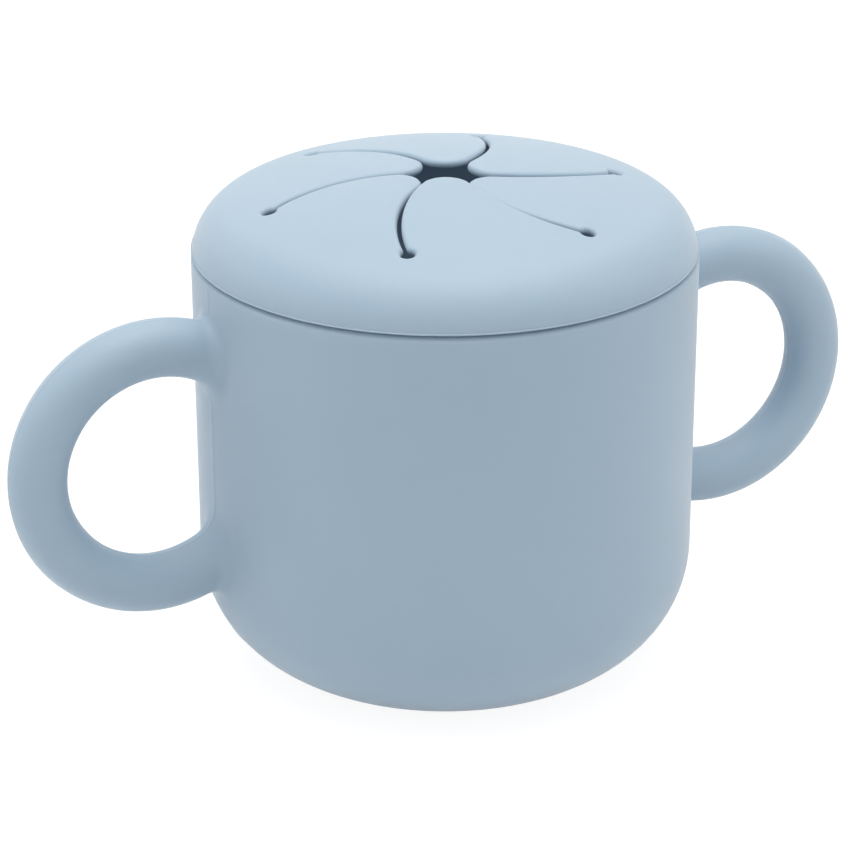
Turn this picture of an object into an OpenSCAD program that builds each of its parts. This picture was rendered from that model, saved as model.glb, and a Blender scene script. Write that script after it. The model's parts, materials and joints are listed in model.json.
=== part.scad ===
// Toddler snack cup: a soft silicone cup with two round side handles and a
// domed silicone lid. Six curved slits cut the crown of the lid into petal
// flaps that bend down to let a small hand in and spring back behind it.
// Millimetres, +Z up, handles along X, origin at the middle of the base.

/* [Cup] */
// Outside diameter of the cup, which the lid follows
cup_d = 82; // [74:1:92]
// Height of the rim, where the lid's lip rests
cup_h = 71.3; // [64:0.1:80]
// Thickness of the cup's side wall
wall_t = 2.6; // [2:0.1:3.6]
// Thickness of the cup's floor
floor_t = 3; // [2:0.1:4.5]
// Outside radius between the side wall and the base
base_round = 20; // [14:0.5:24]
// Rounding of the rim's two edges
rim_round = 0.8; // [0.4:0.1:0.9]

/* [Handles] */
// Distance from the cup's wall to the centre of a handle's ring
handle_reach = 9.6; // [7:0.1:12]
// Radius of the ring that a handle's centreline follows
handle_r = 19.9; // [18:0.1:22]
// Height of the centre of a handle's ring
handle_z = 41.5; // [38:0.1:45]
// Thickness of the grip
grip_d = 9.4; // [8:0.1:11]
// Radius of the fillet where a handle grows out of the wall
root_fillet = 4.4; // [3:0.1:5]

/* [Lid] */
// Height of the dome above the rim
dome_rise = 12.4; // [11:0.1:15]
// Radius of the lid's rounded shoulder
shoulder_r = 9; // [7:0.1:9.6]
// How far below the rim the shoulder's arc is centred
shoulder_drop = 0.8; // [0.2:0.1:1.2]
// Thickness of the dome and of the flaps cut from it
skin_t = 1.3; // [1.1:0.1:1.6]
// Rounding of the lip's lower edge
lip_round = 0.5; // [0.3:0.1:0.8]
// Depth of the plug that reaches down into the cup
plug_h = 8; // [6:0.5:11]
// Thickness of the plug's wall
plug_t = 2.2; // [1.6:0.1:3]
// Inner rounding between the plug and the dome
plug_round = 4; // [2:0.5:6]
// How far a sealing rib stands out from the plug
rib_h = 0.5; // [0.3:0.1:0.8]
// Distance between the two sealing ribs
rib_pitch = 2.8; // [2:0.1:3.4]
// Clearance between the sealing ribs and the cup's bore
bore_gap = 0.3; // [0.2:0.05:0.5]

/* [Star opening] */
// Radius of the circle that the six relief holes stand on
hole_ring_r = 29.4; // [28:0.1:30.5]
// Diameter of a relief hole
hole_d = 2.5; // [2.2:0.1:3]
// Width of a slit
slit_w = 0.9; // [0.8:0.05:1.2]
// Radius of a slit's curve
slit_r = 28.4; // [27:0.1:34]
// Angle between a slit and the lid's radius at its relief hole
slit_lean = 29.5; // [26:0.5:31]
// Radius of a flap's rounded tip
tip_r = 4.4; // [4:0.1:5.5]
// Distance of the flaps' tips from the middle of the star
tip_reach = 4.9; // [4:0.1:6]
// Turn of the whole star about the lid's axis
star_turn = -6; // [-30:0.5:30]

/* [Flap hinges] */
// Radius of the rounded root that a flap turns on
root_r = 1.1; // [1.1:0.05:1.4]
// Clearance between a flap's root and the groove round it
hinge_gap = 0.3; // [0.25:0.05:0.4]

/* [Hidden] */
$fn = 96;

cup_colour = [0.60, 0.69, 0.76];
lid_colour = [0.68, 0.76, 0.82];
flap_colour = [0.74, 0.81, 0.87];

// Overlap that lets one solid run into another before they are joined or cut
bite = 1;

// Cup
cup_r = cup_d / 2;
bore_r = cup_r - wall_t;
bore_round = base_round - wall_t;
// Depth in the wall at which a handle's root ends
root_depth = wall_t / 2;

// Handles
handle_x = cup_r + handle_reach;
grip_r = grip_d / 2;
// Height of a root above the ring's centre, and the slope at which it leaves the wall
root_rise = sqrt(pow(handle_r, 2) - pow(handle_reach, 2));
root_slope = handle_reach / root_rise;
// The flare's foot lies where its rim meets the round wall
flare_foot_r = grip_r + root_fillet;
flare_x = sqrt(pow(cup_r, 2) - pow(flare_foot_r, 2));
flare_rise = root_rise - root_slope * (cup_r - flare_x);

// Dome: a crown arc that runs tangent into the shoulder's arc
shoulder_x = cup_r - shoulder_r;
shoulder_z = cup_h - shoulder_drop;
crown_over = dome_rise + shoulder_drop - shoulder_r;
crown_r = (pow(shoulder_x, 2) + pow(crown_over, 2)) / (2 * crown_over) + shoulder_r;
crown_z = cup_h + dome_rise - crown_r;
inner_crown_r = crown_r - skin_t;

// Plug
plug_r = bore_r - bore_gap - rib_h;
plug_bore_r = plug_r - plug_t;
plug_z = cup_h - plug_h;
first_rib_z = cup_h - plug_h / 2 - rib_pitch / 2;

// Star: one slit runs inward from its relief hole on the local X axis
flap_step = 60;
slit_centre = [hole_ring_r - slit_r * sin(slit_lean), slit_r * cos(slit_lean)];
next_centre = turned(slit_centre, flap_step);
side_a_r = slit_r - slit_w / 2;
side_b_r = slit_r + slit_w / 2;
tip_x = tip_reach + tip_r;
// Direction of a flap's middle where its tip starts, half a step past its first slit
tip_turn = slit_angle(tip_x - tip_r / 2) + flap_step / 2;

// Hinges: each axis is the chord between two neighbouring relief holes
hinge_n = hole_ring_r * cos(flap_step / 2);
chord_half = hole_ring_r * sin(flap_step / 2);
hinge_half = chord_half - hole_d / 2 - hinge_gap;
hinge_z = (skin_z(hinge_n) + skin_z(norm([hinge_n, hinge_half]))) / 2;
groove_r = root_r + hinge_gap;
// Each groove runs on to where it meets its neighbours
groove_half = chord_half + groove_r * tan(flap_step / 2);

// Height of the middle of the dome's skin at a distance from the axis
function skin_z(r) = crown_z + sqrt(pow(crown_r - skin_t / 2, 2) - pow(r, 2));

function unit(v) = v / norm(v);

function turned(p, a) = [p.x * cos(a) - p.y * sin(a), p.x * sin(a) + p.y * cos(a)];

// Direction of the first slit's middle at a distance from the axis
function slit_angle(r) =
    let (far = norm(slit_centre),
         spread = (pow(far, 2) + pow(r, 2) - pow(slit_r, 2)) / (2 * far * r))
    atan2(slit_centre.y, slit_centre.x) - acos(spread);

// Half section of a straight-sided vessel whose foot is rounded
module vessel_2d(r, foot_z, top_z, round_r) {
    translate([0, foot_z])
        square([r - round_r, top_z - foot_z]);
    translate([0, foot_z + round_r])
        square([r, top_z - foot_z - round_r]);
    intersection() {
        translate([r - round_r, foot_z + round_r])
            circle(round_r);
        translate([r - round_r, foot_z])
            square(round_r);
    }
}

// Half section of a straight-sided vessel that a crown arc closes above.
// The pieces share their corner points, so they join without a gap.
module domed_2d(r, foot_z, crown, centre_z, round_r) {
    corner_x = r - round_r;
    corner_up = sqrt(pow(crown - round_r, 2) - pow(corner_x, 2));
    corner = [corner_x, centre_z + corner_up];
    beyond = [0, centre_z] + (crown + bite) * unit([corner_x, corner_up]);
    over = beyond + [bite, bite];
    polygon([[corner.x, foot_z], [r, foot_z], [r, corner.y], corner]);
    intersection() {
        translate([0, centre_z])
            circle(crown);
        polygon([[0, foot_z], [corner.x, foot_z], corner, beyond, [0, centre_z + crown + bite]]);
    }
    intersection() {
        translate(corner)
            circle(round_r);
        polygon([corner, beyond, [r + bite, over.y], [r + bite, corner.y]]);
    }
}

// What a rounded edge takes off a square corner at the origin
module edge_cut_2d(r) {
    difference() {
        translate([-r, -r])
            square(r + bite);
        translate([-r, -r])
            circle(r);
        translate([-r - bite, -r - bite])
            square([bite, 2 * (r + bite)]);
    }
}

module bowl() {
    rotate_extrude()
        difference() {
            vessel_2d(cup_r, 0, cup_h, base_round);
            vessel_2d(bore_r, floor_t, cup_h + bite, bore_round);
            translate([cup_r, cup_h])
                edge_cut_2d(rim_round);
            translate([bore_r, cup_h])
                mirror([1, 0])
                    edge_cut_2d(rim_round);
        }
}

// Concave flare that blends a handle's root into the wall, along +X
module root_flare() {
    rotate([0, 90, 0])
        rotate_extrude()
            difference() {
                translate([0, -bite])
                    square([flare_foot_r, bite + root_fillet]);
                translate([flare_foot_r, root_fillet])
                    circle(root_fillet);
            }
}

module handle() {
    difference() {
        union() {
            translate([handle_x, 0, handle_z])
                rotate([90, 0, 0])
                    rotate_extrude()
                        translate([handle_r, 0])
                            circle(grip_r);
            for (side = [-1, 1])
                translate([flare_x, 0, handle_z + side * flare_rise])
                    multmatrix([[1, 0, 0, 0], [0, 1, 0, 0], [side * root_slope, 0, 1, 0]])
                        root_flare();
        }
        cylinder(r = cup_r - root_depth, h = 2 * cup_h);
    }
}

module cup() {
    color(cup_colour)
        union() {
            bowl();
            handle();
            mirror([1, 0, 0])
                handle();
        }
}

module lid_section_2d() {
    difference() {
        domed_2d(cup_r, shoulder_z - bite, crown_r, crown_z, shoulder_r);
        translate([-bite, shoulder_z - 2 * bite])
            square([2 * cup_r, cup_h - shoulder_z + 2 * bite]);
        translate([cup_r, cup_h])
            mirror([0, 1])
                edge_cut_2d(lip_round);
    }
    translate([0, plug_z])
        square([plug_r, plug_h + bite]);
    for (i = [0, 1])
        translate([plug_r, first_rib_z + i * rib_pitch])
            circle(rib_h);
}

module lid() {
    color(lid_colour)
        difference() {
            rotate_extrude()
                difference() {
                    lid_section_2d();
                    domed_2d(plug_bore_r, plug_z - bite, inner_crown_r, crown_z, plug_round);
                }
            rotate(star_turn)
                cylinder(r = hole_ring_r, h = 2 * cup_h, $fn = 6);
            for (i = [0 : 5])
                rotate(star_turn + (i + 0.5) * flap_step)
                    hinge_bar(groove_r, 2 * groove_half);
        }
}

// Round bar on a flap's hinge axis, for the flap that points along local +X
module hinge_bar(r, length) {
    translate([hinge_n, 0, hinge_z])
        rotate([90, 0, 0])
            cylinder(r = r, h = length, center = true);
}

// The strip of dome between one slit and the next, with its relief holes
module strip_2d() {
    difference() {
        translate(slit_centre)
            circle(side_a_r);
        translate(next_centre)
            circle(side_b_r);
        for (a = [0, flap_step])
            rotate(a)
                translate([hole_ring_r, 0])
                    circle(d = hole_d);
    }
}

// A flap's outline: the strip up to its hinge, closed by a round tip
module petal_2d() {
    intersection() {
        strip_2d();
        rotate(flap_step / 2)
            translate([-cup_r, -cup_r])
                square([cup_r + hinge_n, cup_d]);
        rotate(tip_turn)
            union() {
                translate([tip_x, 0])
                    circle(tip_r);
                translate([tip_x, -cup_r])
                    square([cup_r, cup_d]);
            }
    }
}

module dome_skin() {
    translate([0, 0, crown_z])
        difference() {
            sphere(crown_r);
            sphere(inner_crown_r);
        }
}

module flap(number) {
    color(flap_colour)
        rotate(star_turn + (number - 1) * flap_step)
            intersection() {
                dome_skin();
                union() {
                    linear_extrude(2 * cup_h)
                        petal_2d();
                    intersection() {
                        linear_extrude(2 * cup_h)
                            strip_2d();
                        rotate(flap_step / 2)
                            hinge_bar(root_r, 2 * hinge_half);
                    }
                }
            }
}

cup();
lid();
flap(1);  // flap_1
flap(2);  // flap_2
flap(3);  // flap_3
flap(4);  // flap_4
flap(5);  // flap_5
flap(6);  // flap_6
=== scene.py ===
import json
import math

import bmesh
import bpy
from mathutils import Matrix, Vector


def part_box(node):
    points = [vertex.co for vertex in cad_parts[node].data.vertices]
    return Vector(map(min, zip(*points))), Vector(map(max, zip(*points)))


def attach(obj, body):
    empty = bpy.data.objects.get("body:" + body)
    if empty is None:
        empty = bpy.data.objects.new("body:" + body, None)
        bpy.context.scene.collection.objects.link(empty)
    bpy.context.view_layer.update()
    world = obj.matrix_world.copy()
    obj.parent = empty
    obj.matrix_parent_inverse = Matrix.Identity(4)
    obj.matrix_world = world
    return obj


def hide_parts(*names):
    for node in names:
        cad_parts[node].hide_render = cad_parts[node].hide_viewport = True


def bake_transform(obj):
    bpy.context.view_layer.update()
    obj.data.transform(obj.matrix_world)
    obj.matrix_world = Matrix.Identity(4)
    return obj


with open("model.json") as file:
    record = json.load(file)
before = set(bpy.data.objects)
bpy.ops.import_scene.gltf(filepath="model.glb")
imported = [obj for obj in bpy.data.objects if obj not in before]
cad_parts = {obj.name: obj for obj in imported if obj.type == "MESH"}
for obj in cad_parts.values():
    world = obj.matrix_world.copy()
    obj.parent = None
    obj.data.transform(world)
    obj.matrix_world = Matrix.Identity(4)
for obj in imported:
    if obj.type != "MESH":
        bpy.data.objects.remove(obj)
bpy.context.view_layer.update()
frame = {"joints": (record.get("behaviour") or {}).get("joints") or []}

bl_info = {
    "name": "Toddler Snack Cup",
    "version": (1, 0, 0),
    "blender": (4, 5, 0),
    "location": "3D View > Sidebar > Snack Cup",
    "description": "Models a silicone snack cup and its star-slit lid around the packed frame",
    "category": "Add Mesh",
}

MM = 0.001
UP = Vector((0, 0, 1))
FRONT = Vector((0, -1, 0))
QUARTER = math.pi / 2
FLAPS = 6
FLAP_TURN = math.tau / FLAPS
HALF_TURN = FLAP_TURN / 2
# Places closer than this are taken as one, and turns about the lid's axis closer than that
TINY = 0.01 * MM
TINY_TURN = 1e-4

cup_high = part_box("cup")[1]
lid_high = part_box("lid")[1]
hinges = {j["child"]: Vector(j["pos_m"]) for j in frame["joints"] if j["type"] == "hinge"}


# ---------------------------------------------------------------- settings

def length(name, description, millimetres):
    """A size that a user can change, given in millimetres and kept in metres."""
    return bpy.props.FloatProperty(
        name=name, description=description, default=millimetres * MM, unit="LENGTH", precision=5
    )


def angle(name, description, degrees):
    """An angle that a user can change, given in degrees and kept in radians."""
    return bpy.props.FloatProperty(
        name=name, description=description, default=math.radians(degrees), subtype="ANGLE"
    )


def amount(name, description, default):
    """A plain number that a user can change."""
    return bpy.props.FloatProperty(name=name, description=description, default=default)


def count(name, description, default):
    """A number of faces or rows that a user can change."""
    return bpy.props.IntProperty(name=name, description=description, default=default, min=3)


def linear(hex_colour):
    """Linear RGB of an sRGB hex colour."""
    parts = [int(hex_colour[i:i + 2], 16) / 255 for i in (1, 3, 5)]
    return [p / 12.92 if p <= 0.04045 else ((p + 0.055) / 1.055) ** 2.4 for p in parts]


def colour(name, description, hex_colour):
    """A colour that a user can change, given as sRGB hex and kept as linear RGB."""
    return bpy.props.FloatVectorProperty(
        name=name, description=description, default=linear(hex_colour), subtype="COLOR", size=3
    )


class CupSettings(bpy.types.PropertyGroup):
    """Sizes of the cup and its two ring handles."""

    sides: count("Sides", "Steps of the cup's wall round its axis", 192)
    wall: length("Wall", "Thickness of the side wall", 2.6)
    floor: length("Floor", "Thickness of the floor", 3)
    base_round: length("Base round", "Outside radius between wall and base", 20)
    rim_round: length("Rim round", "Rounding of the rim's outer edge", 1.2)
    bore_round: length("Bore round", "Rounding of the rim's inner edge", 0.8)
    row_height: length("Row height", "Height of a row of faces on the wall", 1.34)
    ring_radius: length("Ring radius", "Radius of a handle's centreline", 19.67)
    ring_height: length("Ring height", "Height of the middle of a handle's ring", 41.62)
    ring_stretch: amount("Ring stretch", "Height of a handle's ring against its width", 1.025)
    grip_radius: length("Grip radius", "Radius of the grip", 4.69)
    ring_inset: length("Ring inset", "How far the handles stay inside the frame's box", 0.2)
    root_blend: length("Root blend", "Reach of the fillet where a handle grows from the wall", 2.7)
    root_reach: length("Root reach", "From the wall to where a handle's tube is round", 3.75)
    root_zone: length("Root zone", "How far from a handle the wall's faces make room for it", 12)
    root_cells_wide: count("Root width", "Faces that a handle's root takes across the wall", 14)
    root_cells_high: count("Root height", "Faces that a handle's root takes up the wall", 14)
    root_rows: count("Root rows", "Rows of faces in a handle's root", 14)
    line_width: length("Parting line width", "Half width of the mould's parting line", 0.22)
    line_height: length("Parting line height", "How far the parting line stands proud", 0.07)


class LidSettings(bpy.types.PropertyGroup):
    """Sizes of the domed lid, its lip and its plug."""

    rise: length("Rise", "Height of the dome above the rim", 12.4)
    shoulder: length("Shoulder", "Radius of the rounded shoulder", 9)
    shoulder_drop: length("Shoulder drop", "How far below the rim the shoulder is centred", 0.8)
    skin: length("Skin", "Thickness of the dome", 1.3)
    lip_height: length("Lip height", "Height of the narrow lip at the lid's edge", 0.6)
    lip_step: length("Lip step", "How far the lip stands out from the shoulder", 0.1)
    lip_round: length("Lip round", "Rounding of the lip's lower edge", 0.3)
    lip_gap: length("Lip gap", "Height of the groove that the lip leaves over the rim", 0.2)
    lip_reach: length("Lip reach", "Depth of that groove", 1.3)
    seat_press: length("Seat press", "How deep the soft seat presses into the rim", 0.03)
    plug_depth: length("Plug depth", "Reach of the plug below the rim", 8)
    plug_wall: length("Plug wall", "Thickness of the plug's wall", 2.2)
    plug_gap: length("Plug gap", "Clearance between the cup's bore and the ribs", 0.3)
    plug_round: length("Plug round", "Inner rounding between plug and dome", 4)
    plug_edge: length("Plug edge", "Rounding of the plug's lower edges", 0.4)
    rib: length("Rib", "How far a sealing rib stands out", 0.5)
    rib_pitch: length("Rib pitch", "Distance between the two sealing ribs", 2.8)


class StarSettings(bpy.types.PropertyGroup):
    """Sizes of the star opening and the flaps round it."""

    plate_radius: length("Plate radius", "Radius of the crown that is cut by the star", 32)
    hole: length("Relief hole", "Diameter of the hole that ends a slit", 2.25)
    slit: length("Slit width", "Width of a slit", 0.6)
    slit_radius: length("Slit radius", "Radius of a slit's curve", 28.4)
    slit_lean: angle("Slit lean", "Angle between a slit and the lid's radius", 29.5)
    tip_radius: length("Tip radius", "Radius of a flap's rounded tip", 4.4)
    tip_reach: length("Tip reach", "Distance of the tips from the lid's axis", 4.9)
    corner: length("Corner", "Rounding of the outline's corners", 0.78)
    edge_round: length("Edge round", "Rounding of the upper edges of the slits", 0.7)
    under_round: length("Under round", "Rounding of the lower edges of the slits", 0.5)
    grid: length("Grid", "Spacing of the faces along a flap", 1.0)
    bend: length("Bend length", "How far from its root a flap goes on bending", 7)
    lift_1: length("Lift 1", "How far the tip of flap 1 stands above the dome", 0.0)
    lift_2: length("Lift 2", "How far the tip of flap 2 stands above the dome", 0.25)
    lift_3: length("Lift 3", "How far the tip of flap 3 stands above the dome", 0.0)
    lift_4: length("Lift 4", "How far the tip of flap 4 stands above the dome", -0.05)
    lift_5: length("Lift 5", "How far the tip of flap 5 stands above the dome", 1.0)
    lift_6: length("Lift 6", "How far the tip of flap 6 stands above the dome", -0.35)
    lean_4: length("Lean 4", "How far the tip of flap 4 has crept sideways", 0.15)
    lean_5: length("Lean 5", "How far the tip of flap 5 has crept sideways", -0.2)


class FinishSettings(bpy.types.PropertyGroup):
    """Colours of the silicone."""

    silicone: colour("Silicone", "Dusty blue of the pigmented silicone", "#96ADC0")
    silicone_deep: colour("Silicone, deeper", "Where the pigment is a little denser", "#92A9BC")


class StageSettings(bpy.types.PropertyGroup):
    """Where the camera stands and how the stage is lit."""

    azimuth: angle("Azimuth", "Direction the camera looks from", -24.465)
    elevation: angle("Elevation", "Height of the camera above the horizon", 23.312)
    roll: angle("Roll", "Turn of the camera about its own axis", -0.178)
    distance: length("Distance", "From the camera to its aim", 500)
    aim_height: length("Aim height", "Height of the point that the camera circles", 40)
    aim_right: length("Aim right", "Shift of the aim to the camera's right", -3.32)
    aim_up: length("Aim up", "Shift of the aim upwards in the picture", -0.39)
    focal: amount("Focal length", "Focal length in millimetres on a 36 mm sensor", 127.87)


class SnackCupSettings(bpy.types.PropertyGroup):
    """All the settings of the snack cup."""

    cup: bpy.props.PointerProperty(type=CupSettings, name="Cup", description="The cup")
    lid: bpy.props.PointerProperty(type=LidSettings, name="Lid", description="The lid")
    star: bpy.props.PointerProperty(type=StarSettings, name="Star", description="The star")
    finish: bpy.props.PointerProperty(type=FinishSettings, name="Finish", description="Colours")
    stage: bpy.props.PointerProperty(type=StageSettings, name="Stage", description="The stage")


# ---------------------------------------------------------------- modelling helpers

def polar(radius, turn):
    """The point of the XY plane at a radius and a turn from +X."""
    return Vector((radius * math.cos(turn), radius * math.sin(turn), 0))


def select_only(*pieces):
    """Selects these pieces and makes the first of them the active one."""
    bpy.ops.object.select_all(action="DESELECT")
    for piece in pieces:
        piece.select_set(True)
    bpy.context.view_layer.objects.active = pieces[0]


def edit(piece):
    """Opens one piece in edit mode with everything deselected."""
    select_only(piece)
    bpy.ops.object.mode_set(mode="EDIT")
    bpy.ops.mesh.select_mode(type="VERT")
    bpy.ops.mesh.select_all(action="DESELECT")


def close_edit():
    """Back from edit mode to object mode."""
    bpy.ops.object.mode_set(mode="OBJECT")


def select_everything():
    """Selects all of the open piece."""
    bpy.ops.mesh.select_all(action="SELECT")


def pick(kind, test):
    """Selects the verts, edges or faces of the open piece that pass the test, and only those."""
    bpy.ops.mesh.select_mode(type=kind)
    bpy.ops.mesh.select_all(action="DESELECT")
    mesh = bmesh.from_edit_mesh(bpy.context.object.data)
    mesh.faces.index_update()
    for part in {"VERT": mesh.verts, "EDGE": mesh.edges, "FACE": mesh.faces}[kind]:
        if test(part):
            part.select_set(True)
    mesh.select_flush_mode()
    bmesh.update_edit_mesh(bpy.context.object.data)


def move_verts(test, place):
    """Moves each vertex of the open piece that passes the test to where place says."""
    mesh = bmesh.from_edit_mesh(bpy.context.object.data)
    for vert in mesh.verts:
        if test(vert):
            vert.co = place(vert)
    mesh.normal_update()
    bmesh.update_edit_mesh(bpy.context.object.data)


def begin_outline(name, point):
    """A new piece with one vertex, open in edit mode, from which an outline is drawn."""
    bpy.ops.mesh.primitive_plane_add(size=MM, location=(0, 0, 0))
    piece = bpy.context.object
    piece.name = name
    piece.data.name = name
    edit(piece)
    select_everything()
    bpy.ops.mesh.merge(type="CENTER")
    bpy.ops.transform.translate(value=point)
    return piece


def draw_line(start, end, pieces=1):
    """Extrudes the outline's last vertex along a straight line."""
    move = (Vector(end) - Vector(start)) / pieces
    for _ in range(pieces):
        bpy.ops.mesh.extrude_region_move(TRANSFORM_OT_translate={"value": move})


def draw_arc(centre, turn, steps, axis):
    """Spins the outline's last vertex round a centre, anticlockwise about the axis."""
    bpy.ops.mesh.spin(steps=steps, angle=-turn, center=centre, axis=axis)


def merge_doubles(distance=0.001 * MM):
    """Merges the open piece's vertices that lie closer together than a distance."""
    bpy.ops.mesh.select_mode(type="VERT")
    select_everything()
    bpy.ops.mesh.remove_doubles(threshold=distance)


def face_outwards():
    """Turns all faces of the open piece outwards."""
    select_everything()
    bpy.ops.mesh.normals_make_consistent(inside=False)


def slice_selected(point, normal, **options):
    """Cuts the selected faces of the open piece with a plane."""
    bpy.ops.mesh.bisect(plane_co=point, plane_no=normal, threshold=0.001 * MM, **options)


def slice_all(point, normal, **options):
    """Cuts the whole open piece with a plane."""
    select_everything()
    slice_selected(point, normal, **options)


def copy_piece(piece, name, turn=0.0):
    """A copy with its own mesh, turned about the upright axis."""
    twin = piece.copy()
    twin.data = piece.data.copy()
    twin.name = name
    twin.data.name = name
    twin.data.transform(Matrix.Rotation(turn, 4, "Z"))
    bpy.context.scene.collection.objects.link(twin)
    return twin


def join_pieces(pieces, name):
    """Joins pieces into one of a new name."""
    select_only(*pieces)
    bpy.ops.object.join()
    joined = bpy.context.object
    joined.name = name
    joined.data.name = name
    return joined


def smooth(piece, limit=40):
    """Shades a piece smooth, save for edges sharper than the limit in degrees."""
    select_only(piece)
    bpy.ops.object.shade_smooth_by_angle(angle=math.radians(limit))


def meet(centre_a, radius_a, centre_b, radius_b):
    """The crossing of two circles in the XY plane that lies nearer to the origin."""
    between = centre_b - centre_a
    gap = between.length
    along = (gap ** 2 + radius_a ** 2 - radius_b ** 2) / (2 * gap)
    across = math.sqrt(radius_a ** 2 - along ** 2)
    foot = centre_a + between * (along / gap)
    side = between.cross(UP) * (across / gap)
    return min(foot + side, foot - side, key=lambda p: p.length)


def rounded_corner(one, other, radius):
    """The arc that rounds a corner between two arcs of an outline: its start, centre and end.
    Both arcs begin with their centre, their radius, and 1 if the piece lies outside them or -1."""
    centre_a, radius_a, side_a = one[:3]
    centre_b, radius_b, side_b = other[:3]
    middle = meet(centre_a, radius_a + side_a * radius, centre_b, radius_b + side_b * radius)
    start = centre_a + (middle - centre_a).normalized() * radius_a
    end = centre_b + (middle - centre_b).normalized() * radius_b
    return start, middle, end


def heading(centre, point):
    """Direction from a centre to a point, as a turn from +X."""
    return math.atan2(point.y - centre.y, point.x - centre.x)


def turn_between(centre, start, end, way=0):
    """Angle from start to end about a centre: the short way, or anticlockwise or clockwise."""
    turn = (heading(centre, end) - heading(centre, start)) % math.tau
    if way < 0 or (way == 0 and turn > math.pi):
        turn -= math.tau
    return turn


def arc_points(centre, radius, start, end, steps):
    """Points (radius, height) along an arc of a turned profile, angles in degrees."""
    turns = [math.radians(start + (end - start) * i / steps) for i in range(steps + 1)]
    return [(centre[0] + radius * math.cos(t), centre[1] + radius * math.sin(t)) for t in turns]


# ---------------------------------------------------------------- materials

def add_node(tree, kind, settings=None, links=None):
    """Adds a shader node, sets its sockets and attributes, and links its inputs."""
    made = tree.nodes.new(kind)
    for key, value in (settings or {}).items():
        if key in made.inputs:
            made.inputs[key].default_value = value
        else:
            setattr(made, key, value)
    for key, source in (links or {}).items():
        tree.links.new(source, made.inputs[key])
    return made


# A Mix node's sockets for colours: its inputs A and B, and its result
MIX_A, MIX_B, MIX_RESULT = 6, 7, 2


def matte_silicone(settings):
    """Pigmented liquid silicone rubber from a fine blasted mould: opaque, even in colour and
    velvety, with a broad soft gloss and a grain that the eye only just finds."""
    name = "matte_moulded_silicone"
    if name in bpy.data.materials:
        return bpy.data.materials[name]
    material = bpy.data.materials.new(name)
    material.use_nodes = True
    tree = material.node_tree
    tree.nodes.clear()
    place = add_node(tree, "ShaderNodeTexCoord").outputs["Object"]
    # Pigment clouds about 30 mm across, so faint that they only keep a wide wall from looking flat
    cloud = add_node(tree, "ShaderNodeTexNoise", {"Scale": 33.0, "Detail": 2.0}, {"Vector": place})
    pigment = add_node(
        tree, "ShaderNodeMix", {"data_type": "RGBA"}, {"Factor": cloud.outputs["Fac"]}
    )
    for socket, shade in ((MIX_A, settings.silicone), (MIX_B, settings.silicone_deep)):
        pigment.inputs[socket].default_value = (*shade, 1)
    # Blasted mould grain is about 0.1 mm; drawn at 0.35 mm so that a pixel can hold it
    grain = add_node(
        tree, "ShaderNodeTexNoise", {"Scale": 2800.0, "Detail": 3.0}, {"Vector": place}
    )
    rub = add_node(
        tree, "ShaderNodeMapRange", {"To Min": 0.48, "To Max": 0.58},
        {"Value": cloud.outputs["Fac"]},
    )
    bump = add_node(
        tree, "ShaderNodeBump", {"Strength": 0.08, "Distance": 0.05 * MM},
        {"Height": grain.outputs["Fac"]},
    )
    skin = add_node(
        tree, "ShaderNodeBsdfPrincipled",
        {"IOR": 1.45, "Sheen Weight": 0.2, "Sheen Roughness": 0.45,
         "Subsurface Weight": 0.3, "Subsurface Scale": 0.8 * MM,
         "Subsurface Radius": (1.0, 1.0, 1.0)},
        {"Base Color": pigment.outputs[MIX_RESULT], "Roughness": rub.outputs["Result"],
         "Normal": bump.outputs["Normal"]},
    )
    add_node(tree, "ShaderNodeOutputMaterial", None, {"Surface": skin.outputs["BSDF"]})
    return material


def dress(piece, settings):
    """Puts the silicone on a piece, in a material slot of its own."""
    piece.data.materials.clear()
    piece.data.materials.append(matte_silicone(settings.finish))


# ---------------------------------------------------------------- the cup

# Rows and steps of the bowl's profile
FLOOR_ROWS = 8
BORE_ROWS = 8
KNEE_STEPS = 24
INNER_KNEE_STEPS = 20
LIP_STEPS = 8
INNER_LIP_STEPS = 6
# Steps of a handle's free length
TUBE_STEPS = 84
# Faces whose middle is this near to the bowl's outside belong to it
ON_WALL = 0.1 * MM
# The handles and the wall close to their roots: half width across the handles' plane, how far
# in from the bowl's widest, how far below the rim's rounding, how far under the outside
SKIN_WIDTH = 16 * MM
SKIN_INSET = 4 * MM
SKIN_DROP = 0.1 * MM
SKIN_DEPTH = 0.6 * MM
# Half width of the zone where wall and handle flow together, and how it is smoothed
ROOT_WIDTH = 14 * MM
ROOT_ROUNDS = 6
ROOT_FACTOR = 0.5
ROOT_REPEATS = 3
# How a point settles on the outside: rounds, and the least square of the slope it goes down
SETTLE_ROUNDS = 4
LEAST_SLOPE = 0.1
# The faces that the parting line runs over: half width, how far under the outside, and height
# over the table
LINE_BAND = 3 * MM
LINE_DEPTH = 0.5 * MM
LINE_START = 1.5 * MM


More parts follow.
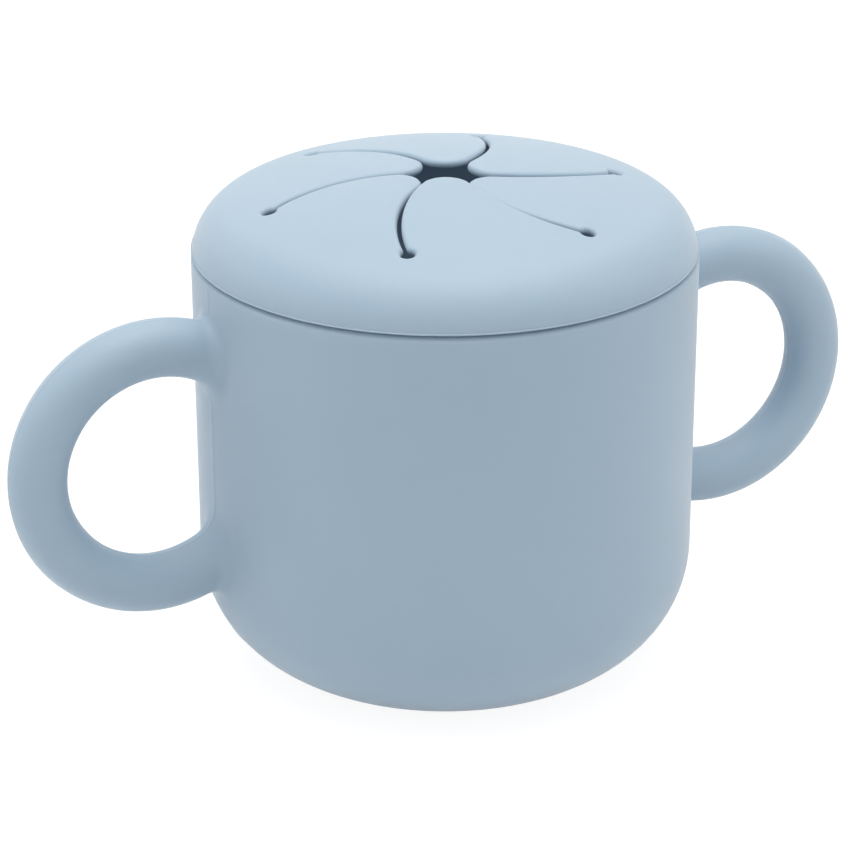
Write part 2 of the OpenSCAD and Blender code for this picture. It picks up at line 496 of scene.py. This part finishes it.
def bowl(cup):
    """The bowl, turned from a profile of lines and arcs."""
    outer = cup_high.y
    rim = cup_high.z
    bore = outer - cup.wall
    knee = cup.base_round
    inner_round = knee - cup.wall
    inner_knee = cup.floor + inner_round
    lip = cup.rim_round
    inner_lip = cup.bore_round
    wall_rows = round((rim - lip - knee) / cup.row_height)
    piece = begin_outline("cup_moulding", (0, 0, 0))
    draw_line((0, 0, 0), (outer - knee, 0, 0), FLOOR_ROWS)
    draw_arc((outer - knee, 0, knee), QUARTER, KNEE_STEPS, FRONT)
    draw_line((outer, 0, knee), (outer, 0, rim - lip), wall_rows)
    draw_arc((outer - lip, 0, rim - lip), QUARTER, LIP_STEPS, FRONT)
    draw_line((outer - lip, 0, rim), (bore + inner_lip, 0, rim))
    draw_arc((bore + inner_lip, 0, rim - inner_lip), QUARTER, INNER_LIP_STEPS, FRONT)
    draw_line((bore, 0, rim - inner_lip), (bore, 0, inner_knee), BORE_ROWS)
    draw_arc((bore - inner_round, 0, inner_knee), -QUARTER, INNER_KNEE_STEPS, FRONT)
    draw_line((bore - inner_round, 0, cup.floor), (0, 0, cup.floor), FLOOR_ROWS)
    select_everything()
    bpy.ops.mesh.spin(steps=cup.sides, angle=math.tau, center=(0, 0, 0), axis=UP)
    merge_doubles()
    face_outwards()
    close_edit()
    return piece


def bowl_distance(point, cup):
    """Distance from a point to the bowl's outside, which is positive outside it."""
    inset = cup_high.y - cup.base_round
    out = math.hypot(point.x, point.y) - inset
    down = cup.base_round - point.z
    if down <= 0:
        return out - cup.base_round
    return math.hypot(max(out, 0), down) - cup.base_round


def handle_hub(cup):
    """Middle of the right handle's ring, which the frame's box puts in its place."""
    far = cup.ring_inset + cup.ring_radius + cup.grip_radius
    return Vector((cup_high.x - far, 0, cup.ring_height))


def grip_distance(point, cup):
    """Distance from a point to the nearer handle's surface, which is positive outside it."""
    hub = handle_hub(cup)
    across = abs(point.x) - hub.x
    along = (point.z - hub.z) / cup.ring_stretch
    turn = math.atan2(along, across)
    middle_x = cup.ring_radius * math.cos(turn)
    middle_z = cup.ring_radius * math.sin(turn) * cup.ring_stretch
    reach = math.hypot(across - middle_x, point.z - hub.z - middle_z)
    return math.hypot(reach, point.y) - cup.grip_radius


def skin_distance(point, cup):
    """Distance to the cup's outside with a soft fillet between wall and handle."""
    wall = bowl_distance(point, cup)
    grip = grip_distance(point, cup)
    share = max(cup.root_blend - abs(wall - grip), 0) / cup.root_blend
    return min(wall, grip) - share * share * cup.root_blend / 4


def is_skin(point, cup):
    """Whether a point belongs to the handles or to the wall below the rim close to their roots."""
    return (abs(point.y) < SKIN_WIDTH and abs(point.x) > cup_high.y - SKIN_INSET
            and point.z < cup_high.z - cup.rim_round - SKIN_DROP
            and bowl_distance(point, cup) > -SKIN_DEPTH)


def near_root(point, cup):
    """Whether a point is in the zone where wall and handle flow together."""
    return (is_skin(point, cup) and abs(point.y) < ROOT_WIDTH
            and grip_distance(point, cup) < cup.root_zone
            and bowl_distance(point, cup) < 2 * cup.root_reach)


def settle(point, cup):
    """Moves a point along the slope of skin_distance until it lies on the cup's outside."""
    spot = Vector(point)
    for _ in range(SETTLE_ROUNDS):
        here = skin_distance(spot, cup)
        slope = Vector([
            (skin_distance(spot + axis * TINY, cup) - here) / TINY
            for axis in Matrix.Identity(3)
        ])
        spot -= slope * (here / max(slope.length_squared, LEAST_SLOPE))
    return spot


def root_heights(cup):
    """Heights at which a handle's centreline meets the wall, lower root first."""
    hub = handle_hub(cup)
    rise = math.sqrt(cup.ring_radius ** 2 - (hub.x - cup_high.y) ** 2) * cup.ring_stretch
    return hub.z - rise, hub.z + rise


def root_cells(side, height, cup):
    """Faces of the open bowl that one root of a handle takes the place of."""
    mesh = bmesh.from_edit_mesh(bpy.context.object.data)
    mesh.faces.index_update()
    half_cell = math.tau / cup.sides / 2
    spread = cup.root_cells_wide * half_cell
    columns = {}
    for face in mesh.faces:
        middle = face.calc_center_median()
        turn = math.atan2(middle.y, middle.x * side)
        if abs(turn) < spread and abs(bowl_distance(middle, cup)) < ON_WALL:
            columns.setdefault(round(turn / half_cell), []).append((middle.z, face.index))
    chosen = set()
    for column in columns.values():
        column.sort(key=lambda pair: abs(pair[0] - height))
        chosen.update(index for _, index in column[:cup.root_cells_high])
    return chosen


def handle_tube(side, cup):
    """The free length of a handle's ring: a circle spun about the hub. settle() shapes it."""
    hub = handle_hub(cup)
    sides = 2 * (cup.root_cells_wide + cup.root_cells_high)
    start = math.acos((cup_high.y + cup.root_reach - hub.x) / cup.ring_radius)
    bpy.ops.mesh.primitive_circle_add(vertices=sides, radius=cup.grip_radius, location=(0, 0, 0))
    tube = bpy.context.object
    edit(tube)
    select_everything()
    # The circle is carried out to the ring and spun down from its upper end to its lower end
    bpy.ops.transform.translate(value=(cup.ring_radius, 0, 0))
    close_edit()
    tube.data.transform(Matrix.Rotation(-start, 4, "Y"))
    tube.data.transform(Matrix.Translation(hub))
    edit(tube)
    select_everything()
    bpy.ops.mesh.spin(steps=TUBE_STEPS, angle=2 * start, center=hub, axis=FRONT)
    close_edit()
    if side < 0:
        tube.data.transform(Matrix.Scale(-1, 4, (1, 0, 0)))
        tube.data.flip_normals()
    return tube


def open_root(side, height, cup):
    """Takes out the faces of the wall that one root grows from."""
    cells = root_cells(side, height, cup)
    pick("FACE", lambda face: face.index in cells)
    bpy.ops.mesh.delete(type="FACE")


def grow_root(side, height, cup):
    """Bridges the opening in the wall to the end of the handle's tube."""
    upper = height > cup.ring_height

    def at_this_root(edge):
        middle = (edge.verts[0].co + edge.verts[1].co) / 2
        return edge.is_boundary and middle.x * side > 0 and (middle.z > cup.ring_height) == upper

    pick("EDGE", at_this_root)
    bpy.ops.mesh.bridge_edge_loops(number_cuts=cup.root_rows, interpolation="LINEAR")


def add_handles(piece, cup):
    """Grows the two ring handles out of the bowl, so that the cup is one skin."""
    tubes = [handle_tube(side, cup) for side in (1, -1)]
    piece = join_pieces([piece, *tubes], "cup_moulding")
    edit(piece)
    roots = [(side, height) for side in (1, -1) for height in root_heights(cup)]
    for root in roots:
        open_root(*root, cup)
    for root in roots:
        grow_root(*root, cup)
    face_outwards()
    move_verts(lambda vert: is_skin(vert.co, cup), lambda vert: settle(vert.co, cup))
    for _ in range(ROOT_ROUNDS):
        pick("VERT", lambda vert: near_root(vert.co, cup))
        bpy.ops.mesh.vertices_smooth(factor=ROOT_FACTOR, repeat=ROOT_REPEATS)
        move_verts(lambda vert: vert.select, lambda vert: settle(vert.co, cup))
    close_edit()
    return piece


def on_line_band(point, cup):
    """Whether a point lies near the handles' plane on the outside, clear of rim and base."""
    return (abs(point.y) < LINE_BAND and abs(point.x) > cup_high.y - cup.base_round
            and bowl_distance(point, cup) > -LINE_DEPTH
            and LINE_START < point.z < cup_high.z - cup.rim_round)


def parting_line(piece, cup):
    """Raises the hair-thin line that the two halves of the mould leave down the cup's sides."""
    edit(piece)
    for offset in (0, cup.line_width, -cup.line_width):
        pick("FACE", lambda face: on_line_band(face.calc_center_median(), cup))
        slice_selected((0, offset, 0), (0, 1, 0))
    move_verts(
        lambda vert: abs(vert.co.y) < TINY and on_line_band(vert.co, cup),
        lambda vert: vert.co + vert.normal * cup.line_height,
    )
    close_edit()


class SNACKCUP_OT_make_cup(bpy.types.Operator):
    """Model the cup with its two ring handles as one moulding"""

    bl_idname = "snack_cup.make_cup"
    bl_label = "Make Cup"
    bl_options = {"REGISTER", "UNDO"}

    def execute(self, context):
        settings = context.scene.snack_cup
        piece = add_handles(bowl(settings.cup), settings.cup)
        parting_line(piece, settings.cup)
        smooth(piece)
        dress(piece, settings)
        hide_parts("cup")
        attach(piece, "cup")
        return {"FINISHED"}


# ---------------------------------------------------------------- the lid and its flaps

# Steps of a sector's outline: the crown's edge, a hole, a slit, a tip, a rounded corner, and the
# straight pieces between hole and edge
EDGE_STEPS = 36
HOLE_STEPS = 16
SLIT_STEPS = 40
TIP_STEPS = 20
CORNER_STEPS = 5
SIDE_PIECES = 2
# Steps of the rounding of its upper and lower edges
UPPER_STEPS = 5
LOWER_STEPS = 3
# Columns of faces that the grid has outside a flap's root
OUTER_COLUMNS = 6
# Slivers narrower than this are closed up, clear of a sector's sides by this turn
SLIVER = 0.02 * MM
CLEAR_TURN = 1e-3
# A sector's curved wall lies beyond this share of the crown's radius, and its normals rise less
# than this
WALL_SHARE = 0.985
WALL_RISE = 0.5
# Corners where sectors meet, and where the plug's profile ends under the crown, are merged
# within these distances
SECTOR_MERGE = 0.005 * MM
SHOULDER_MERGE = 0.002 * MM
# Steps of the lid's profile
CROWN_STEPS = 4
SHOULDER_STEPS = 26
LIP_FOOT_STEPS = 5
RIB_STEPS = 6
PLUG_EDGE_STEPS = 3
PLUG_ROUND_STEPS = 10
# How the shoulder draws in towards the lip: the power of its ease
DRAW_IN = 4
# The lip's upper edge: share of its step at which it starts, distances below its top, and how
# far the middle one stays inside its radius
LIP_START = 0.15
LIP_DROPS = (0.05 * MM, 0.14 * MM, 0.26 * MM)
LIP_TUCK = 0.03 * MM


def crown(lid):
    """Radius and centre height of the dome's crown, which runs tangent into the shoulder."""
    shoulder_x = lid_high.x - lid.shoulder
    over = lid.rise + lid.shoulder_drop - lid.shoulder
    radius = (shoulder_x ** 2 + over ** 2) / (2 * over) + lid.shoulder
    return radius, cup_high.z + lid.rise - radius


def flap_arcs(star, ring):
    """The arcs round one flap, from the hole on its left to the hole on its right. Each has a
    centre, a radius, 1 if the silicone lies outside it or -1, its steps, and the way it is
    drawn, as in turn_between()."""
    slit = star.slit_radius
    half_slit = star.slit / 2
    hole = star.hole / 2
    centre = Vector((ring - slit * math.sin(star.slit_lean), slit * math.cos(star.slit_lean), 0))
    centre_a = Matrix.Rotation(-HALF_TURN, 3, "Z") @ centre
    centre_b = Matrix.Rotation(HALF_TURN, 3, "Z") @ centre
    # The tip points along the middle of the flap where it starts
    tip_x = star.tip_reach + star.tip_radius
    probe = tip_x - star.tip_radius / 2
    spread = (centre.length ** 2 + probe ** 2 - slit ** 2) / (2 * centre.length * probe)
    tip_turn = math.atan2(centre.y, centre.x) - math.acos(spread)
    return (
        (polar(ring, HALF_TURN), hole, 1, HOLE_STEPS, -1),
        (centre_b, slit + half_slit, 1, SLIT_STEPS, 0),
        (polar(tip_x, tip_turn), star.tip_radius, -1, TIP_STEPS, 1),
        (centre_a, slit - half_slit, -1, SLIT_STEPS, 0),
        (polar(ring, -HALF_TURN), hole, 1, HOLE_STEPS, -1),
    )


def draw_part(arc, start, end):
    """Draws the part of a flap's arc from start to end."""
    centre, _, _, steps, way = arc
    draw_arc(centre, turn_between(centre, start, end, way), steps, UP)


def on_sector_side(place):
    """Whether a place lies on one of the two straight sides of a sector."""
    return abs(abs(math.atan2(place.y, place.x)) - HALF_TURN) < TINY_TURN


def sector(star, lid):
    """One flap with its share of the crown round it, flat, with its middle along +X."""
    ring = hinges["flap_1"].xy.length / math.cos(HALF_TURN)
    plate = star.plate_radius
    hole_end = ring + star.hole / 2
    start = polar(plate, -HALF_TURN)
    side_a, side_b = polar(hole_end, -HALF_TURN), polar(hole_end, HALF_TURN)
    arcs = flap_arcs(star, ring)
    piece = begin_outline("crown_sector", start)
    draw_arc((0, 0, 0), FLAP_TURN, EDGE_STEPS, UP)
    draw_line(polar(plate, HALF_TURN), side_b, SIDE_PIECES)
    here = side_b
    for one, other in zip(arcs, arcs[1:]):
        leave, middle, enter = rounded_corner(one, other, star.corner)
        draw_part(one, here, leave)
        draw_arc(middle, turn_between(middle, leave, enter), CORNER_STEPS, UP)
        here = enter
    draw_part(arcs[-1], here, side_a)
    draw_line(side_a, start, SIDE_PIECES)
    merge_doubles()
    select_everything()
    bpy.ops.mesh.edge_face_add()
    bpy.ops.mesh.extrude_region_move(TRANSFORM_OT_translate={"value": (0, 0, -lid.skin)})
    face_outwards()

    def joins_neighbour(edge):
        ends = [vert.co for vert in edge.verts]
        on_rim = all(co.xy.length > plate - TINY for co in ends)
        on_side = all(co.xy.length > hole_end - TINY and on_sector_side(co) for co in ends)
        return on_rim or on_side

    for height, round_by, steps in (
        (0, star.edge_round, UPPER_STEPS), (-lid.skin, star.under_round, LOWER_STEPS),
    ):
        pick("EDGE", lambda edge: not joins_neighbour(edge) and all(
            abs(vert.co.z - height) < TINY for vert in edge.verts))
        bpy.ops.mesh.bevel(offset=round_by, segments=steps, affect="EDGES")
    close_edit()
    return piece


def cut_sector(piece, name, star, lid, keep_flap):
    """Keeps the flap or the crown's rim from a sector, grids it and wraps it on the dome."""
    part = copy_piece(piece, name)
    root = hinges["flap_1"].xy.length
    radius, centre_z = crown(lid)
    centre = Vector((0, 0, centre_z))
    edit(part)
    slice_all((root, 0, 0), (1, 0, 0), use_fill=True,
              clear_outer=keep_flap, clear_inner=not keep_flap)
    columns = int(star.plate_radius / star.grid)
    rows = int(star.plate_radius / 2 / (2 * star.grid)) + 1
    for i in range(OUTER_COLUMNS - columns, OUTER_COLUMNS):
        slice_all((root + i * star.grid, 0, 0), (1, 0, 0))
    for i in range(-rows, rows):
        slice_all((0, (2 * i + 1) * star.grid, 0), (0, 1, 0))

    def is_free(vert):
        """Whether no other piece or sector has a corner where this one is."""
        flat = vert.co
        return (abs(flat.x - root) > SLIVER and flat.xy.length < star.plate_radius - SLIVER
                and abs(math.atan2(flat.y, flat.x)) < HALF_TURN - CLEAR_TURN)

    def wrap(vert):
        """The place on the dome of a corner of the flat sector."""
        flat = vert.co
        outwards = Vector((flat.x, flat.y, math.sqrt(radius ** 2 - flat.xy.length_squared)))
        return centre + outwards.normalized() * (radius + flat.z)

    pick("VERT", is_free)
    bpy.ops.mesh.remove_doubles(threshold=SLIVER)
    move_verts(lambda vert: True, wrap)
    close_edit()
    return part


def shoulder_profile(cup, lid, star):
    """Points (radius, height) from the crown's edge round shoulder, lip and plug and back."""
    outer = lid_high.x
    rim = cup_high.z
    radius, centre_z = crown(lid)
    # The crown's last strip and the shoulder, which draws in a little towards the lip, so that
    # the lip stands proud of it
    shoulder_x = outer - lid.shoulder
    shoulder_z = rim - lid.shoulder_drop
    lip_top = rim + lid.lip_height
    tangent = math.degrees(math.atan2(shoulder_z - centre_z, shoulder_x))
    crown_start = math.degrees(math.acos(star.plate_radius / radius))
    lip_turn = math.degrees(math.asin((lip_top - shoulder_z) / lid.shoulder))
    points = arc_points((0, centre_z), radius, crown_start, tangent, CROWN_STEPS)[1:]
    shoulder = arc_points(
        (shoulder_x, shoulder_z), lid.shoulder, tangent, lip_turn, SHOULDER_STEPS)
    for r, z in shoulder[1:]:
        ease = max(0, (r - shoulder_x) / lid.shoulder) ** DRAW_IN
        points.append((r - lid.lip_step * ease, z))
    # The lip, the groove under it and the seat on the rim
    lip_foot = rim + lid.lip_gap
    seat_z = rim - lid.seat_press
    seat = outer - cup.wall - lid.plug_gap
    plug = seat - lid.rib
    points += [
        (points[-1][0] + lid.lip_step * LIP_START, lip_top - LIP_DROPS[0]),
        (outer - LIP_TUCK, lip_top - LIP_DROPS[1]),
        (outer, lip_top - LIP_DROPS[2]),
        *arc_points((outer - lid.lip_round, lip_foot + lid.lip_round), lid.lip_round,
                    0, -90, LIP_FOOT_STEPS),
        (outer - lid.lip_reach, lip_foot),
        (outer - lid.lip_reach, seat_z),
        (seat, seat_z),
        (plug, seat_z),
    ]
    # The plug with its two ribs, its foot, and its bore up to the underside of the crown
    for over in (0.5, -0.5):
        rib_z = rim - lid.plug_depth / 2 + over * lid.rib_pitch
        points += arc_points((plug, rib_z), lid.rib, 90, -90, RIB_STEPS)
    edge = lid.plug_edge
    edge_z = rim - lid.plug_depth + edge
    bore = plug - lid.plug_wall
    points += arc_points((plug - edge, edge_z), edge, 0, -90, PLUG_EDGE_STEPS)
    points += arc_points((bore + edge, edge_z), edge, -90, -180, PLUG_EDGE_STEPS)
    inner = radius - lid.skin
    corner_x = bore - lid.plug_round
    corner_z = centre_z + math.sqrt((inner - lid.plug_round) ** 2 - corner_x ** 2)
    meet_turn = math.degrees(math.atan2(corner_z - centre_z, corner_x))
    points += arc_points((corner_x, corner_z), lid.plug_round, 0, meet_turn, PLUG_ROUND_STEPS)
    last = star.plate_radius * inner / radius
    points.append((last, centre_z + math.sqrt(inner ** 2 - last ** 2)))
    return points


def crown_rim(piece, star, lid):
    """The crown round the flaps, from six copies of one sector's outer part."""
    part = cut_sector(piece, "lid_sector", star, lid, keep_flap=False)

    def is_cut_wall(face):
        places = [vert.co for vert in face.verts]
        on_rim = all(co.xy.length > star.plate_radius * WALL_SHARE for co in places)
        return (on_rim and abs(face.normal.z) < WALL_RISE) or all(map(on_sector_side, places))

    edit(part)
    pick("FACE", is_cut_wall)
    bpy.ops.mesh.delete(type="FACE")
    close_edit()
    turns = [math.atan2(hinges[name].y, hinges[name].x) for name in sorted(hinges)]
    copies = [copy_piece(part, f"sector_{i}", turn) for i, turn in enumerate(turns)]
    bpy.data.objects.remove(part)
    rim = join_pieces(copies, "lid_moulding")
    edit(rim)
    merge_doubles(SECTOR_MERGE)
    close_edit()
    return rim


def add_shoulder(rim, cup, lid, star):
    """Extrudes the crown's outer edge ring by ring round the shoulder, lip and plug."""
    radius, centre_z = crown(lid)
    last_r = star.plate_radius
    last_z = centre_z + math.sqrt(radius ** 2 - last_r ** 2)
    level = last_z - lid.skin / 2
    edit(rim)
    pick("EDGE", lambda edge: edge.is_boundary and all(vert.co.z > level for vert in edge.verts))
    for r, z in shoulder_profile(cup, lid, star):
        bpy.ops.mesh.extrude_edges_move(TRANSFORM_OT_translate={"value": (0, 0, z - last_z)})
        bpy.ops.transform.resize(value=(r / last_r, r / last_r, 1), center_override=(0, 0, z))
        last_r, last_z = r, z
    merge_doubles(SHOULDER_MERGE)
    face_outwards()
    close_edit()


def lift_tip(flap, name, lift, lean, star):
    """Bends a flap from its root, so that its tip stands off the dome and leans to its left."""
    root = hinges[name]
    inwards = -root.xy.normalized()
    span = root.xy.length - star.tip_reach
    for vert in flap.data.vertices:
        share = min(max((vert.co.xy - root.xy).dot(inwards) / span, 0), 1)
        share *= share * (3 - 2 * share)
        vert.co += UP * (lift * share) + UP.cross(inwards.to_3d()) * (lean * share)


def star_plate(settings):
    """One sector of the crown, or the one made before."""
    if "crown_sector" in bpy.data.objects:
        return bpy.data.objects["crown_sector"]
    return sector(settings.star, settings.lid)


class SNACKCUP_OT_make_lid(bpy.types.Operator):
    """Model the lid: the crown round the star, the shoulder, the lip and the plug"""

    bl_idname = "snack_cup.make_lid"
    bl_label = "Make Lid"
    bl_options = {"REGISTER", "UNDO"}

    def execute(self, context):
        settings = context.scene.snack_cup
        lid = crown_rim(star_plate(settings), settings.star, settings.lid)
        add_shoulder(lid, settings.cup, settings.lid, settings.star)
        smooth(lid)
        dress(lid, settings)
        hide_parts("lid")
        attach(lid, "lid")
        return {"FINISHED"}


class SNACKCUP_OT_make_flaps(bpy.types.Operator):
    """Model the six flaps round the star, each bent from its root as its lift and lean settings
    say
    """

    bl_idname = "snack_cup.make_flaps"
    bl_label = "Make Flaps"
    bl_options = {"REGISTER", "UNDO"}

    def execute(self, context):
        settings = context.scene.snack_cup
        star = settings.star
        lifts = [star.lift_1, star.lift_2, star.lift_3, star.lift_4, star.lift_5, star.lift_6]
        leans = [0, 0, 0, star.lean_4, star.lean_5, 0]
        piece = star_plate(settings)
        petal = cut_sector(piece, "flap", star, settings.lid, keep_flap=True)
        for name, lift, lean in zip(sorted(hinges), lifts, leans):
            root = hinges[name]
            flap = copy_piece(petal, f"{name}_moulding", math.atan2(root.y, root.x))
            lift_tip(flap, name, lift, lean, star)
            smooth(flap)
            dress(flap, settings)
            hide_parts(name)
            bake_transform(flap)
        bpy.data.objects.remove(petal)
        bpy.data.objects.remove(piece)
        return {"FINISHED"}


# ---------------------------------------------------------------- the stage

# The floor's size in metres, and the point that the softboxes face
FLOOR_SIZE = 6
LIT_POINT = UP * 0.04
WARM, WHITE = (1.0, 0.925, 0.85), (1.0, 1.0, 1.0)
# Each softbox: size in metres, power in watts, tint, and where it stands in metres: to the
# camera's right, towards the camera, and up
SOFTBOXES = {
    "softbox_top": (0.9, 10.7, WARM, (0, 0, 1.0)),
    "softbox_back": (1.6, 2.6, WHITE, (0, -1.1, 0.55)),
    "softbox_left": (0.9, 2.8, WHITE, (-1.0, 0.1, 0.45)),
    "softbox_right": (0.9, 2.25, WHITE, (1.0, 0.1, 0.45)),
    "softbox_front": (0.9, 2.15, WHITE, (0, 1.0, 0.6)),
}
# The light inside the cup: power in watts, radius, and height over the table
INNER_POWER = 0.006
INNER_RADIUS = 12 * MM
INNER_HEIGHT = 38 * MM


def add_light(name, kind, power, place):
    """A light of a kind, AREA or POINT, at a place."""
    lamp = bpy.data.lights.new(name, kind)
    lamp.energy = power
    light = bpy.data.objects.new(name, lamp)
    light.location = place
    bpy.context.scene.collection.objects.link(light)
    return light


def softbox(name, size, power, tint, place):
    """A square area light that faces the cup."""
    light = add_light(name, "AREA", power, place)
    light.data.size = size
    light.data.color = tint
    light.rotation_euler = (place - LIT_POINT).to_track_quat("Z", "Y").to_euler()


def seen_rays(tree):
    """1 for rays that show a surface directly, in gloss or through glass, and 0 for others."""
    path = add_node(tree, "ShaderNodeLightPath")
    seen = path.outputs["Is Camera Ray"]
    for kind in ("Is Glossy Ray", "Is Transmission Ray"):
        either = add_node(tree, "ShaderNodeMath", {"operation": "MAXIMUM"})
        tree.links.new(seen, either.inputs[0])
        tree.links.new(path.outputs[kind], either.inputs[1])
        seen = either.outputs["Value"]
    return seen


def paper_floor():
    """Seamless white paper: plain to the camera, with the object's shadow kept on it."""
    material = bpy.data.materials.new("seamless_white_paper")
    material.use_nodes = True
    tree = material.node_tree
    tree.nodes.clear()
    seen = seen_rays(tree)
    paper = add_node(tree, "ShaderNodeBsdfDiffuse", {"Color": (0.9, 0.9, 0.9, 1)})
    shade = add_node(tree, "ShaderNodeBsdfDiffuse", {"Color": (0.2, 0.2, 0.2, 1)})
    glow = add_node(tree, "ShaderNodeEmission", {"Color": (1, 1, 1, 1), "Strength": 0.9})
    lit = add_node(tree, "ShaderNodeAddShader")
    tree.links.new(shade.outputs["BSDF"], lit.inputs[0])
    tree.links.new(glow.outputs["Emission"], lit.inputs[1])
    both = add_node(tree, "ShaderNodeMixShader", None, {"Fac": seen})
    tree.links.new(paper.outputs["BSDF"], both.inputs[1])
    tree.links.new(lit.outputs["Shader"], both.inputs[2])
    add_node(tree, "ShaderNodeOutputMaterial", None, {"Surface": both.outputs["Shader"]})
    return material


def white_world():
    """Soft white surroundings: white to the camera and in gloss, dimmer as a source of light."""
    world = bpy.data.worlds.new("white_studio")
    bpy.context.scene.world = world
    world.use_nodes = True
    tree = world.node_tree
    tree.nodes.clear()
    seen = seen_rays(tree)
    dim = add_node(tree, "ShaderNodeBackground", {"Color": (1, 1, 1, 1), "Strength": 0.3})
    white = add_node(tree, "ShaderNodeBackground", {"Color": (1, 1, 1, 1), "Strength": 1.0})
    both = add_node(tree, "ShaderNodeMixShader", None, {"Fac": seen})
    tree.links.new(dim.outputs["Background"], both.inputs[1])
    tree.links.new(white.outputs["Background"], both.inputs[2])
    add_node(tree, "ShaderNodeOutputWorld", None, {"Surface": both.outputs["Shader"]})


def camera_right(stage):
    """Direction to the camera's right, level with the floor."""
    return Vector((math.cos(stage.azimuth), math.sin(stage.azimuth), 0))


def place_camera(stage):
    """The camera, on a circle round its aim."""
    azimuth, elevation = stage.azimuth, stage.elevation
    back = Vector((math.sin(azimuth) * math.cos(elevation),
                   -math.cos(azimuth) * math.cos(elevation), math.sin(elevation)))
    right = camera_right(stage)
    up = back.cross(right)
    aim = UP * stage.aim_height + right * stage.aim_right + up * stage.aim_up
    camera = bpy.data.objects.new("camera", bpy.data.cameras.new("camera"))
    camera.data.sensor_width = 36
    camera.data.lens = stage.focal
    camera.data.clip_start = 10 * MM
    camera.location = aim + back * stage.distance
    turned = Matrix((right, up, back)).transposed() @ Matrix.Rotation(stage.roll, 3, "Z")
    camera.rotation_euler = turned.to_euler()
    bpy.context.scene.collection.objects.link(camera)
    bpy.context.scene.camera = camera


class SNACKCUP_OT_make_stage(bpy.types.Operator):
    """Set up the camera, the white paper floor and the soft lights"""

    bl_idname = "snack_cup.make_stage"
    bl_label = "Make Stage"
    bl_options = {"REGISTER", "UNDO"}

    def execute(self, context):
        stage = context.scene.snack_cup.stage
        place_camera(stage)
        bpy.ops.mesh.primitive_plane_add(size=FLOOR_SIZE, location=(0, 0, 0))
        floor = context.object
        floor.name = "paper_floor"
        floor.data.materials.append(paper_floor())
        white_world()
        right = camera_right(stage)
        near = right.cross(UP)
        for name, (size, power, tint, (across, ahead, height)) in SOFTBOXES.items():
            softbox(name, size, power, tint, right * across + near * ahead + UP * height)
        # A little of the light outside comes through the soft walls and fills the closed cup
        inside = add_light("light_through_the_walls", "POINT", INNER_POWER, UP * INNER_HEIGHT)
        inside.data.shadow_soft_size = INNER_RADIUS
        context.scene.view_settings.view_transform = "Standard"
        return {"FINISHED"}


# ---------------------------------------------------------------- the add-on

class SNACKCUP_PT_panel(bpy.types.Panel):
    """The snack cup's tools in the 3D view's sidebar"""

    bl_label = "Snack Cup"
    bl_idname = "SNACKCUP_PT_panel"
    bl_space_type = "VIEW_3D"
    bl_region_type = "UI"
    bl_category = "Snack Cup"

    def draw(self, context):
        for step in STEPS:
            self.layout.operator(step.bl_idname)
        settings = context.scene.snack_cup
        for name in ("cup", "lid", "star", "finish", "stage"):
            group = getattr(settings, name)
            box = self.layout.box()
            box.label(text=name.capitalize())
            for key in group.__annotations__:
                box.prop(group, key)


STEPS = (
    SNACKCUP_OT_make_stage,
    SNACKCUP_OT_make_cup,
    SNACKCUP_OT_make_lid,
    SNACKCUP_OT_make_flaps,
)
GROUPS = (
    CupSettings, LidSettings, StarSettings, FinishSettings, StageSettings, SnackCupSettings,
)
CLASSES = (*GROUPS, *STEPS, SNACKCUP_PT_panel)


def register():
    """Adds the classes and the settings to Blender."""
    for cls in CLASSES:
        bpy.utils.register_class(cls)
    bpy.types.Scene.snack_cup = bpy.props.PointerProperty(
        type=SnackCupSettings, name="Snack cup", description="Settings of the snack cup"
    )


def unregister():
    """Takes the settings and the classes out of Blender again."""
    del bpy.types.Scene.snack_cup
    for cls in reversed(CLASSES):
        bpy.utils.unregister_class(cls)


def main():
    """Makes the stage and every piece."""
    register()
    bpy.ops.snack_cup.make_stage()
    bpy.ops.snack_cup.make_cup()
    bpy.ops.snack_cup.make_lid()
    bpy.ops.snack_cup.make_flaps()


if __name__ == "__main__":
    main()
